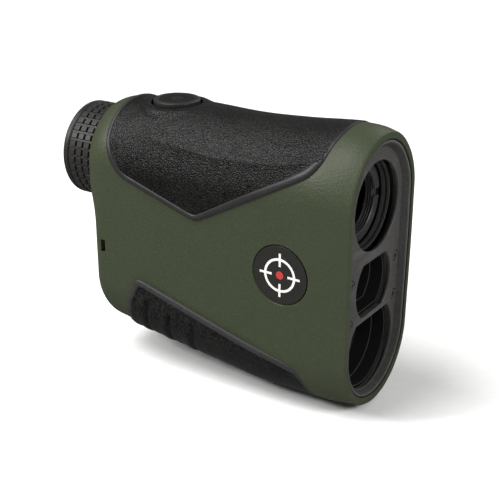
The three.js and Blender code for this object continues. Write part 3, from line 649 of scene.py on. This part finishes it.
def top_lift(x, girth, z):
    """How far the top grip stands off the body. Its rim round the button is nearly level."""
    girth_radius, proud, least_proud, hump_drop = 18.2, 0.32, 0.08, 0.27
    level_end, level_faded = 8.2, 11.2
    y = np.sign(girth) * np.sin(np.abs(girth) / girth_radius) * girth_radius
    from_button = np.hypot(x - BUTTON_X, y)
    hump = (1 - ramp(x, -26, -24)) * (1 - ramp(np.abs(girth), 9, 14))
    free = proud + crease(x, girth) - hump_drop * hump
    rim_z = BUTTON_RIM_Z + BUTTON_RIM_SLOPE * np.abs(x - BUTTON_X)
    level_rim = (rim_z - z) / np.cos(girth / girth_radius)
    lift = free + (level_rim - free) * (1 - ramp(from_button, level_end, level_faded))
    return np.where(from_button > level_end + 0.5, np.maximum(lift, least_proud), lift)


GROOVES = [(-16.2, 22.3), (-8.4, 19.9), (-0.3, 17.5)]
GROOVE_LEAN, GROOVE_FLOOR, GROOVE_DEPTH, GROOVE_SWELL = 0.31, 0.04, 1.4, 0.3
SKIN_THICKNESS = 0.5
# The bottom grip's height between its grooves, at knots along X.
SKIN_LIFT = [(16, 0.7), (34, 0.04)]


def bottom_lift(x, girth, z):
    """How far the bottom grip stands off the body: finger grooves with swollen sides."""
    lift = eased_line(SKIN_LIFT, x)
    for top_x, top_z in GROOVES:
        behind = x - (top_x - GROOVE_LEAN * (top_z - z))
        fade = 1 - ramp(z, top_z - 1.5, top_z + 0.8)
        swell = bell(behind, -1.9, 1.5) + 0.3 * bell(behind, 2.0, 1.2)
        lift = lift + fade * (GROOVE_SWELL * swell - GROOVE_DEPTH * bell(behind, 0.1, 0.42))
    return np.maximum(lift, GROOVE_FLOOR)


def same_girth(x, girth):
    """Girth is counted from the top line already."""
    return girth


def from_underside(x, girth):
    """Girth counted from the bottom line turned into girth counted from the top line."""
    half, top, bottom = section_sizes(x)
    full = half * math.pi + top - bottom
    return np.where(girth > 0, full - girth, -full - girth)


def grip_skin(outline, lift, to_girth, x_span, girth_limit, step, hole=None):
    """A sheet over the body inside a side outline."""
    xs = np.arange(x_span[0], x_span[1], step)
    girths = np.arange(-girth_limit, girth_limit + step / 2, step)
    x, from_middle = np.meshgrid(xs, girths, indexing="ij")
    girth = to_girth(x, from_middle)
    base, outward = on_body(x, girth, np.zeros_like(x))
    points = base + outward * lift(x, girth, base[..., 2])[..., None]
    kept = inside(outline, x, base[..., 2])
    if hole:
        centre, radius = hole
        away = np.hypot(points[..., 0] - centre, points[..., 1])
        kept &= away > radius - step * 0.5
        near = np.abs(away - radius) < step * 0.72
        snap = np.where(near, radius / np.maximum(away, 1e-6), 1.0)
        points[..., 0] = centre + (points[..., 0] - centre) * snap
        points[..., 1] *= snap
    across = len(girths)
    whole = kept[:-1, :-1] & kept[1:, :-1] & kept[1:, 1:] & kept[:-1, 1:]
    corners = np.argwhere(whole)
    first = corners[:, 0] * across + corners[:, 1]
    faces = np.stack([first, first + across, first + across + 1, first + 1], 1)
    used, faces = np.unique(faces, return_inverse=True)
    return points.reshape(-1, 3)[used], faces.reshape(-1, 4).tolist()


def thicken(piece):
    """Gives a skin its thickness, inwards and before its normals are weighted."""
    solid = piece.modifiers.new("thickness", "SOLIDIFY")
    solid.thickness = SKIN_THICKNESS * MM
    solid.offset = -1
    piece.modifiers.move(1, 0)


def resampled(points, step, closed):
    """Points spaced evenly along a path."""
    if closed:
        points = np.concatenate([points, points[:1]])
    length = np.concatenate([[0], np.cumsum(np.linalg.norm(np.diff(points, axis=0), axis=1))])
    even = np.linspace(0, length[-1], int(length[-1] / step), endpoint=not closed)
    return np.stack([np.interp(even, length, points[:, k]) for k in (0, 1)], 1)


def outline_loop(flank, to_girth):
    """A side outline mirrored into one closed loop of (x, girth from the middle line)."""
    x, z = resampled(np.array(flank, float), 0.3, False).T
    half, top, bottom = section_sizes(x)
    seen = (z < top + half - 0.02) & (z > bottom - half + 0.02)
    x, z = x[seen], z[seen]
    girth = to_girth(x, girth_at(x, z))
    near = np.stack([x, -girth], 1)
    far = np.stack([x, girth], 1)[::-1]
    loop = resampled(np.concatenate([near, far]), 0.45, True)
    for _ in range(3):
        loop = (np.roll(loop, 1, 0) + 2 * loop + np.roll(loop, -1, 0)) / 4
    return loop


def inward_of(loop):
    """Unit vectors into a closed loop from each of its points."""
    after = np.roll(loop, -1, 0)
    ahead = after - np.roll(loop, 1, 0)
    ahead /= np.linalg.norm(ahead, axis=1)[:, None]
    inward = np.stack([-ahead[:, 1], ahead[:, 0]], 1)
    runs_backwards = np.sum(loop[:, 0] * after[:, 1] - after[:, 0] * loop[:, 1]) < 0
    return -inward if runs_backwards else inward


def bead(flank, to_girth, width, height, flatness, overhang, gap=0.0):
    """A rounded strip along a side outline. width and height are its size at knots along X.

    Its outer edge lies overhang outside the outline. With a gap, that edge stands off the body.
    """
    sink, foot_share = 0.3, 0.3 if gap else 0.0
    loop = outline_loop(flank, to_girth)
    inward = inward_of(loop)
    widths = eased_line(width, loop[:, 0])[:, None]
    heights = eased_line(height, loop[:, 0])
    edge = np.minimum(gap, heights * 0.5)
    profile = []
    for angle in np.linspace(0, math.pi, 11):
        share = 0.5 - 0.5 * math.cos(angle)
        lift = heights * max(0.0, math.sin(angle)) ** flatness
        profile.append((share, np.maximum(lift, edge) if share < 0.5 else lift))
    buried = np.full(len(loop), -sink)
    rings = []
    for share, lift in [*profile, (1.0, buried), (foot_share, buried)]:
        x, from_middle = (loop + inward * (widths * share - overhang)).T
        points, _ = on_body(x, to_girth(x, from_middle), lift)
        rings.append(points)
    return from_rings(rings, wrap=True)


# Sizes of the strips round the grips, at knots along X.
TOP_BEAD_WIDTH = [(-31.8, 1.3), (-29, 1.75), (2, 1.75), (20, 2.2), (30, 2.2), (35, 2.6), (38, 2.6),
                  (40, 1.5)]
TOP_BEAD_HEIGHT = [(-31.8, 0.5), (-30, 0.65), (26, 0.65), (34, 0.8), (38, 0.8), (40, 0.3)]
BORDER_WIDTH = [(-24, 1.6), (-21, 2.0), (33, 2.0), (36, 0.8)]
BORDER_HEIGHT = [(16, 0.95), (34, 0.29), (36.8, 0.06)]

top_skin = grip_skin(TOP_OUTLINE, top_lift, same_girth, x_span=(-31.5, 41.0), girth_limit=40.0,
                     step=0.5, hole=(BUTTON_X, BUTTON_OPENING))
thicken(add_piece("top_grip_skin", pebble_rubber, top_skin, ["top_grip"], sharp=70))
top_bead = bead(TOP_OUTLINE[2:], same_girth, TOP_BEAD_WIDTH, TOP_BEAD_HEIGHT, flatness=0.6,
                overhang=0.45, gap=0.26)
add_piece("top_grip_bead", smooth_rubber, top_bead, sharp=60)

bottom_skin = grip_skin(BOTTOM_OUTLINE, bottom_lift, from_underside, x_span=(-26.5, 37.6),
                        girth_limit=44.0, step=0.4)
thicken(add_piece("bottom_grip_skin", leather_rubber, bottom_skin,
                  ["bottom_grip"], sharp=70))
bottom_bead = bead(BOTTOM_OUTLINE[2:], from_underside, BORDER_WIDTH, BORDER_HEIGHT, flatness=0.3,
                   overhang=0.15)
add_piece("bottom_grip_border", border_rubber, bottom_bead, sharp=60)

# ---- badge ----

# The bars lie a hair deeper than the ring, so that no two faces share a plane.
RING_INK_FRONT, BAR_INK_FRONT, INK_BACK = BADGE_Y - 0.07, BADGE_Y - 0.06, BADGE_Y + 0.1

badge_profile = rounded(band(BADGE_Y - 0.02, BADGE_Y + 0.9, 0, BADGE_R), 0.15)
add_piece("badge_disc", badge_face, lathe_across(badge_profile, BADGE_X, BADGE_Z), ["badge"])


def flat_ring(outer, inner):
    """A ring of ink on the badge."""
    return lathe_across(band(INK_BACK, RING_INK_FRONT, inner, outer), BADGE_X, BADGE_Z)


def bar(angle):
    """One short bar of the target mark, pointing at its centre."""
    start, end, half_width = 2.5, 6.3, 0.33
    points, faces = block((BADGE_X + start, BADGE_X + end), (BAR_INK_FRONT, INK_BACK),
                          (BADGE_Z - half_width, BADGE_Z + half_width))
    x, z = points[:, 0] - BADGE_X, points[:, 2] - BADGE_Z
    turned_x = x * math.cos(angle) - z * math.sin(angle)
    turned_z = x * math.sin(angle) + z * math.cos(angle)
    return np.stack([BADGE_X + turned_x, points[:, 1], BADGE_Z + turned_z], 1), faces


mark = merged(flat_ring(4.9, 4.2), *[bar(math.pi / 2 * quarter) for quarter in range(4)])
add_piece("badge_target_mark", white_ink, mark)
add_piece("badge_target_dot", red_ink, flat_ring(1.15, 0.0))

# ---- front plate ----


def flatted(x, radius, z, low, high, grow=0.0):
    """A ring round a line along X at height z, cut by flats at heights low and high."""
    steps = 240
    turn = np.linspace(0, 2 * math.pi, steps, endpoint=False)
    y = (radius + grow) * np.cos(turn)
    height = np.clip(z + (radius + grow) * np.sin(turn), low - grow, high + grow)
    return np.stack([np.full(steps, float(x)), y, height], 1)


def capped(rings):
    """Rings joined into a closed shape with a flat face on each end."""
    points, faces = from_rings(rings)
    size = len(rings[0])
    last = len(points) - size
    return points, faces + [tuple(range(size))[::-1], tuple(range(last, last + size))]


def aperture_cutter(opening, clearance):
    """Cuts an opening with a fine chamfer in front and a wider clearance behind."""
    steps = [(PLATE_RIM + 1, 0.9), (PLATE_FACE + 0.3, 0.4), (PLATE_FACE - 0.12, 0.0),
             (PLATE_STEP, 0.0), (PLATE_STEP - 0.05, clearance), (PLATE_REAR - 1, clearance)]
    return capped([flatted(x, *opening, grow) for x, grow in steps])


def plate_rings(profile, wrap=True):
    """A profile of (x, half width) swept round the outline of the front plate."""
    return from_rings([stadium(x, r, PLATE_TOP, PLATE_BOTTOM) for x, r in profile], wrap)


def screw_hole(y, z):
    """Cuts a screw's bore, its head's well and a chamfer round the mouth."""
    profile = [
        (PLATE_REAR - 1, 0), (PLATE_REAR - 1, BORE_R), (WELL_FLOOR, BORE_R), (WELL_FLOOR, WELL_R),
        (PLATE_FACE - 0.1, WELL_R), (PLATE_FACE + 0.3, WELL_R + 0.35), (PLATE_FACE + 0.3, 0),
    ]
    return lathe(profile, z, y, steps=48)


plate_profile = rounded([
    (PLATE_REAR, 0), (PLATE_REAR, PLATE_HALF), (PLATE_RIM, PLATE_HALF), (PLATE_RIM, PLATE_HALF - 0.75),
    (PLATE_FACE - 0.45, PLATE_HALF - 1.2), (PLATE_FACE - 0.45, PLATE_HALF - 1.7),
    (PLATE_FACE, PLATE_HALF - 1.95), (PLATE_FACE, 0),
], 0.16)
plate = carved(mesh_from("plate", *plate_rings(plate_profile, wrap=False)), [
    aperture_cutter(SIGHT_OPENING, 1.2),
    aperture_cutter(EMITTER_OPENING, 0.5),
    aperture_cutter(RECEIVER_OPENING, 0.5),
    *[screw_hole(y, z) for y, z in SCREW_PLACES.values()],
])
add_piece("front_plate_detailed", plate_plastic, plate, ["front_plate"])

# A thin light ring along the rim of the front plate: a painted highlight.
rim_profile = rounded(band(PLATE_RIM - 0.1, PLATE_RIM + 0.04, PLATE_HALF - 0.22, PLATE_HALF + 0.03), 0.05)
add_piece("front_plate_rim_highlight", plate_rim_highlight_paint, plate_rings(rim_profile))


def screw_shape(y, z):
    """A screw with a cross cut into its head."""
    beyond, arm, half_arm_width = SCREW_TOP + 1, 0.8, 0.22
    profile = rounded([
        (SCREW_REAR, 0), (SCREW_REAR, SHANK_R), (SCREW_HEAD, SHANK_R), (SCREW_HEAD, HEAD_R),
        (SCREW_TOP - 0.1, HEAD_R), (SCREW_TOP, HEAD_R - 0.1), (SCREW_TOP, 0),
    ], 0.1)
    middle = [(SCREW_TOP - 0.7, 0), (SCREW_TOP - 0.7, 0.55), (beyond, 0.7), (beyond, 0)]
    arms = [
        block((SCREW_TOP - 0.6, beyond), (y - a, y + a), (z - b, z + b))
        for a, b in ((arm, half_arm_width), (half_arm_width, arm))
    ]
    return carved(mesh_from("screw", *lathe(profile, z, y, steps=40)),
                  [lathe(middle, z, y, steps=24), *arms])


# Painted shade: a black ring round each screw at the floor of its well, and a black disc at the bottom of
# its cross, where these gaps lie in shadow.
WELL_SHADE_RING = band(WELL_FLOOR - 0.1, 47.3, 0.95, 1.53)
CROSS_SHADE_DISC = band(SCREW_HEAD + 0.05, 47.5, 0, 1.0)

well_shade_rings = []
for screw, (screw_y, screw_z) in SCREW_PLACES.items():
    well_shade_rings += [lathe(profile, screw_z, screw_y, steps=40) for profile in (WELL_SHADE_RING, CROSS_SHADE_DISC)]
    add_piece(screw + "_detailed", screw_steel, screw_shape(screw_y, screw_z), [screw])
add_piece("screw_well_shades", tunnel_black, merged(*well_shade_rings))

# A black ring in the gap between the front plate and the shell's lip: painted shade where the gap lies in
# shadow.
lip_gap_shade_profile = rounded(band(46.5, 49.75, SEAT_HALF - 0.4, SEAT_HALF + 0.02), 0.05)
add_piece("front_plate_gap_shade", tunnel_black, plate_rings(lip_gap_shade_profile))

# ---- tunnels and glass behind the plate ----

# Grooves in the sight's tunnel swallow stray light.
light_grooves = [(34.2 - 0.7 * k, 9.6 if k % 2 else 10.6) for k in range(8)]
sight_profile = rounded([
    (17, 9.9), (17, 14.1), (43.4, 14.1), (43.4, 12.9), (45.2, 12.8), (45.2, 12.3), (43.0, 12.0),
    (43.0, 12.9), (41.8, 12.9), (41.8, 11.6), (34.2, 11.6), *light_grooves,
], 0.1)
add_piece("sight_tunnel", tunnel_black,
          lathe(sight_profile, SIGHT_Z, steps=160), ["objective_barrel"])


def edge_line(x, radius):
    """A hair-thin light ring at a step's sharp corner: a painted highlight."""
    width = 0.16
    profile = rounded([
        (x, radius), (x, radius + width), (x + width, radius + width), (x + width, radius - 0.04),
    ], 0.04)
    return lathe(profile, SIGHT_Z, steps=160)


# Light rings along the sight tunnel's steps: painted highlights.
edge_lines = [edge_line(x, radius) for x, radius in ((45.15, 12.35), (42.5, 9.1), (31.3, 9.7), (29.9, 9.7))]
add_piece("sight_tunnel_edges", edge_highlight_paint, merged(*edge_lines))

lip_profile = rounded([
    (43.5, 12.95), (45.25, 12.8), (45.25, 12.28), (44.6, 12.2), (44.5, 12.4), (44.2, 12.4),
    (44.1, 12.13), (43.3, 12.02), (42.95, 11.97), (42.95, 12.6),
], 0.06)
add_piece("sight_tunnel_lip", retainer_black, lathe(lip_profile, SIGHT_Z, steps=160))


def lens_profile(rear, front, radius, bulge):
    """A lens with two bulging faces, from the middle of its rear face to that of its front face."""
    share = np.linspace(0, 1, 12)
    rear_face = [(rear + bulge * s * s, radius * s) for s in share]
    front_face = [(front - bulge * s * s, radius * s) for s in share[::-1]]
    return rear_face + front_face


# Round lenses: the node, what it rides, its height, then rear, front, radius and bulge.
LENSES = {
    "objective_glass": ("objective_lens", "body", SIGHT_Z, 34.6, 39.3, 11.4, 1.1),
    "emitter_glass": ("emitter_lens", "body", EMITTER_Z, 33.3, 36.7, 7.3, 0.8),
    "eye_glass": ("eye_lens", "ocular_cell", SIGHT_Z, -45.6, -42.3, 8.5, 0.8),
    "field_glass": ("field_lens", "ocular_cell", SIGHT_Z, -34.2, -30.9, 8.5, 0.8),
}
for lens, (node, carrier, lens_z, *sizes) in LENSES.items():
    add_piece(lens, coated_glass, lathe(lens_profile(*sizes), lens_z), [node], carrier)

RETAINER_BORE, THREAD_R, SPANNER_HALF = 8.9, 9.5, 1.15
threads = []
for start in (42.05, 41.35, 40.65):
    threads += [(start, RETAINER_BORE), (start - 0.06, THREAD_R), (start - 0.38, THREAD_R),
                (start - 0.44, RETAINER_BORE)]
retainer_profile = rounded([
    (39.6, RETAINER_BORE), (39.6, 11.4), (42.6, 11.4), (42.6, 9.2), (42.3, RETAINER_BORE), *threads,
], 0.08)
spanner_slot = block((41.4, 44), (-15, 15), (SIGHT_Z - SPANNER_HALF, SIGHT_Z + SPANNER_HALF))
retainer = carved(mesh_from("retainer", *lathe(retainer_profile, SIGHT_Z)), [spanner_slot])
add_piece("objective_retainer_detailed", retainer_black, retainer,
          ["objective_retainer"])

# Both flatted tunnels have this mouth: (x, grow) over the opening's outline.
TUNNEL_MOUTH = [(43.6, 0.6), (43.6, -0.1), (45.8, -0.15), (45.8, -0.5), (42.0, -0.6), (42.0, -1.1)]
# Where thin light hoops of painted highlight lie at the mouth, as (x, inset from the opening's outline).
MOUTH_EDGES = [(45.75, 0.42), (41.95, 1.0)]


def flat_tunnel(name, node, opening, rear, throat, bore):
    """A tunnel with flats: (x, grow) throat behind the mouth, then a round (x, radius) bore."""
    steps = rounded([(rear, 0.6), *TUNNEL_MOUTH, *throat], 0.12)
    rings = [flatted(x, *opening, grow) for x, grow in steps]
    rings += [flatted(x, r, opening[1], *NO_FLATS) for x, r in bore]
    add_piece(name, tunnel_black, from_rings(rings, wrap=True), [node])
    # Thin light hoops at the mouth's edges: painted highlights.
    lines = []
    for x, inset in MOUTH_EDGES:
        hoop = band(x, x + 0.14, -inset, -inset + 0.2)
        lines.append(from_rings([flatted(at, *opening, grow) for at, grow in hoop], wrap=True))
    add_piece(name + "_edges", edge_highlight_paint, merged(*lines))


flat_tunnel("emitter_tunnel", "emitter_barrel", EMITTER_OPENING, rear=22, throat=[(37, -1.3)],
            bore=[(37, 7.6), (33, 7.6), (33, 5.6), (22, 5.6)])
flat_tunnel("receiver_tunnel", "receiver_barrel", RECEIVER_OPENING, rear=20,
            throat=[(37.5, -1.2), (37.5, -1.8), (34.4, -1.9), (34.4, -0.3), (29.4, -0.3)],
            bore=[(29.4, 8), (20, 8)])

receiver_lens = lens_profile(29.8, 33.9, 12.3, 0.9)[1:-1]
receiver_rings = [flatted(x, r, RECEIVER_Z, 0, 26.8) for x, r in receiver_lens]
add_piece("receiver_glass", coated_glass, capped(receiver_rings), ["receiver_lens"])

# ---- eyepiece ----

RING_REAR, RIM_FRONT, RING_FRONT = -50.5, -48.6, -39.3
RING_R, BAND_R, POCKET_R = 14.35, 14.1, 13.4
PAD_ROWS, PAD_STARTS, PAD_LENGTH, PAD_SHARE = 36, (-47.9, -45.25, -42.6), 2.05, 0.7
BAND_START = PAD_STARTS[0] - 0.35


def rib(start, length, top, share, middle_angle):
    """A block on the ring with rounded edges. share is how much of a row's pitch it spans."""
    corner = 0.22
    half_length = length / 2
    half_turn = share * math.pi / PAD_ROWS
    rings = []
    for radius, inset in ((POCKET_R - 0.3, 0.0), (top - 0.12, 0.02), (top - 0.03, 0.06), (top, 0.15)):
        across, around = half_length - inset, half_turn - inset / top
        outline = []
        for sign_x, sign_a, first in ((1, 1, 0), (-1, 1, 1), (-1, -1, 2), (1, -1, 3)):
            for step in range(3):
                angle = math.pi / 2 * first + math.pi / 4 * step
                x = sign_x * (across - corner) + corner * math.cos(angle)
                turn = sign_a * (around - corner / top) + corner / top * math.sin(angle)
                outline.append((x, turn))
        rings.append(np.array([
            (start + half_length + x, radius * math.cos(middle_angle + turn),
             SIGHT_Z + radius * math.sin(middle_angle + turn))
            for x, turn in outline
        ]))
    return capped(rings)


sleeve_profile = rounded([
    (RING_REAR, 10.4), (RING_REAR, RING_R - 0.5), (RING_REAR + 0.5, RING_R), (RIM_FRONT, RING_R),
    (RIM_FRONT + 0.2, BAND_R), (BAND_START, BAND_R), (PAD_STARTS[0] - 0.3, POCKET_R),
    (RING_FRONT, POCKET_R), (RING_FRONT, 12.2), (RING_REAR + 1.4, 12.2), (RING_REAR + 1.4, 10.4),
], 0.18)
row_turn = 2 * math.pi / PAD_ROWS
pads = [
    rib(start, PAD_LENGTH, RING_R, PAD_SHARE, row_turn * row)
    for start in PAD_STARTS for row in range(PAD_ROWS)
]
bands = [
    rib(BAND_START, RING_FRONT - BAND_START, BAND_R, 1.04 - PAD_SHARE, row_turn * (row + 0.5))
    for row in range(PAD_ROWS)
]
add_piece("focus_ring", ring_rubber,
          merged(lathe(sleeve_profile, SIGHT_Z, steps=180), *pads, *bands), ["diopter_ring"],
          body="diopter_ring", sharp=50)

mount_profile = rounded([
    (-46.5, 10.1), (-46.5, 11.9), (-36, 11.9), (-36, 13.4), (-34.4, 13.4), (-34.4, 11.9),
    (-28.5, 11.9), (-28.5, 10.1),
], 0.15)
add_piece("eyepiece_mount_detailed", black_aluminium,
          lathe(mount_profile, SIGHT_Z), ["eyepiece_mount"])

cell_profile = rounded([
    (-47.8, 8.8), (-47.8, 9.8), (-29.5, 9.8), (-29.5, 8.8), (-34.6, 8.8), (-34.6, 7.8),
    (-41.9, 7.8), (-41.9, 8.8),
], 0.2)
add_piece("ocular_cell_detailed", black_aluminium,
          lathe(cell_profile, SIGHT_Z), ["ocular_cell"], body="ocular_cell")

retainer_profile = rounded([(-47.2, 7.9), (-47.2, 8.5), (-45.4, 8.5), (-45.4, 7.4), (-46.7, 7.4)], 0.12)
add_piece("ocular_retainer_detailed", black_aluminium,
          lathe(retainer_profile, SIGHT_Z), ["ocular_retainer"], body="ocular_cell")

# ---- battery cap ----

cap_profile = rounded([
    (-36.4, 0), (-36.4, 8.6), (-38.1, 8.6), (-38.1, 8.3), (-38.8, 8.3), (-38.8, 10.4), (-40.4, 10.4),
    (-40.4, 7.6), (-40.2, 7.4), (-40.2, 0),
], 0.25)
spanner_slot = block((-42, -39.5), (-6.5, 6.5), (BATTERY_Z - 0.8, BATTERY_Z + 0.8))
cap = carved(mesh_from("cap", *lathe(cap_profile, BATTERY_Z)), [spanner_slot])
add_piece("battery_cap_detailed", black_plastic, cap, ["battery_cap"], body="battery_cap")

seal_profile = rounded(band(-38.5, -38.1, 8.6, 9.4), 0.15)
add_piece("cap_seal_detailed", smooth_rubber,
          lathe(seal_profile, BATTERY_Z), ["cap_seal"], body="cap_seal")

# ---- fire button ----

button_profile = rounded([
    (72.6, 0), (72.6, 7.7), (73.6, 7.7), (73.6, BUTTON_R - 0.25), (BUTTON_TOP - 1.6, BUTTON_R - 0.1),
    (BUTTON_TOP - 1.3, BUTTON_R), (BUTTON_TOP - 0.25, BUTTON_R), (BUTTON_TOP, BUTTON_R - 0.5),
    (BUTTON_TOP, BUTTON_R - 1.1), (BUTTON_TOP - 0.15, BUTTON_R - 1.3), (BUTTON_TOP - 0.15, 0),
], 0.16)
add_piece("fire_button_cap", smooth_rubber,
          lathe_up(button_profile, BUTTON_X), ["fire_button"], body="fire_button")

inlay_base, inlay_top = BUTTON_TOP - 0.2, BUTTON_TOP - 0.06
inlay_profile = [(inlay_base, 0), (inlay_base, BUTTON_R - 1.4), (BUTTON_TOP - 0.1, BUTTON_R - 1.45),
                 (inlay_top, BUTTON_R - 1.8), (inlay_top, 0)]
add_piece("fire_button_texture", pebble_rubber,
          lathe_up(inlay_profile, BUTTON_X), body="fire_button")

ring_mark_profile = rounded(band(inlay_base, BUTTON_TOP, 1.0, 1.5), 0.08)
add_piece("fire_button_ring_mark", smooth_rubber,
          lathe_up(ring_mark_profile, BUTTON_X), body="fire_button")

# ---- floor, lights and camera ----

FLOOR_HALF = 4000

pale_floor = finish("pale_floor", (245, 245, 244), (0.7, 0.8), 3.0, 0.0, contrast=0.01, edge_wear_and_highlight=1.0,
                    specular=0.1)
floor_points = [(x * FLOOR_HALF, y * FLOOR_HALF, 0) for x, y in ((-1, -1), (1, -1), (1, 1), (-1, 1))]
floor_mesh = mesh_from("floor", floor_points, [(0, 1, 2, 3)])
floor_mesh.materials.append(pale_floor)
floor = add_object("floor", floor_mesh)
floor.visible_glossy = False

scene = bpy.context.scene
scene.view_settings.view_transform = "Standard"
world = bpy.data.worlds.new("studio")
scene.world = world
world.use_nodes = True
sky = world.node_tree.nodes["Background"]
sky.inputs["Color"].default_value = (1.0, 1.0, 1.0, 1.0)
sky.inputs["Strength"].default_value = 0.12


def add_lamp(name, kind, direction, **settings):
    """A light of a kind, shining along a direction."""
    light = bpy.data.lights.new(name, kind)
    for key, value in settings.items():
        setattr(light, key, value)
    lamp = add_object(name, light)
    lamp.rotation_euler = Vector(direction).to_track_quat("-Z", "Y").to_euler()
    return lamp


def softbox(name, place, aim, side, power):
    """A square lamp at a place, aimed at a point."""
    lamp = add_lamp(name, "AREA", Vector(aim) - Vector(place), size=side * MM, energy=power)
    lamp.location = Vector(place) * MM


def broad_light(name, direction, softness, strength):
    """Even light over everything from one broad direction."""
    add_lamp(name, "SUN", direction, angle=math.radians(softness), energy=strength)


broad_light("key", (0.36, 0.3, -0.88), softness=35, strength=3.2)
broad_light("fill", (-0.15, -0.85, -0.5), softness=50, strength=0.8)
softbox("rear side", (-290, -330, 320), (-20, 0, 62), side=120, power=1.8)
softbox("front", (420, -50, 280), (45, 0, 55), side=130, power=1.3)

CAMERA_PLACE = (171.0, -247.8, 160.5)
azimuth, elevation = math.radians(33.38), math.radians(22.49)
looking = Vector((
    -math.sin(azimuth) * math.cos(elevation),
    math.cos(azimuth) * math.cos(elevation),
    -math.sin(elevation),
))
camera_data = bpy.data.cameras.new("camera")
camera_data.lens = 79.2
camera_data.sensor_width = 36
camera_data.clip_start = 0.01
camera = add_object("camera", camera_data)
camera.location = Vector(CAMERA_PLACE) * MM
camera.rotation_euler = looking.to_track_quat("-Z", "Y").to_euler()
scene.camera = camera
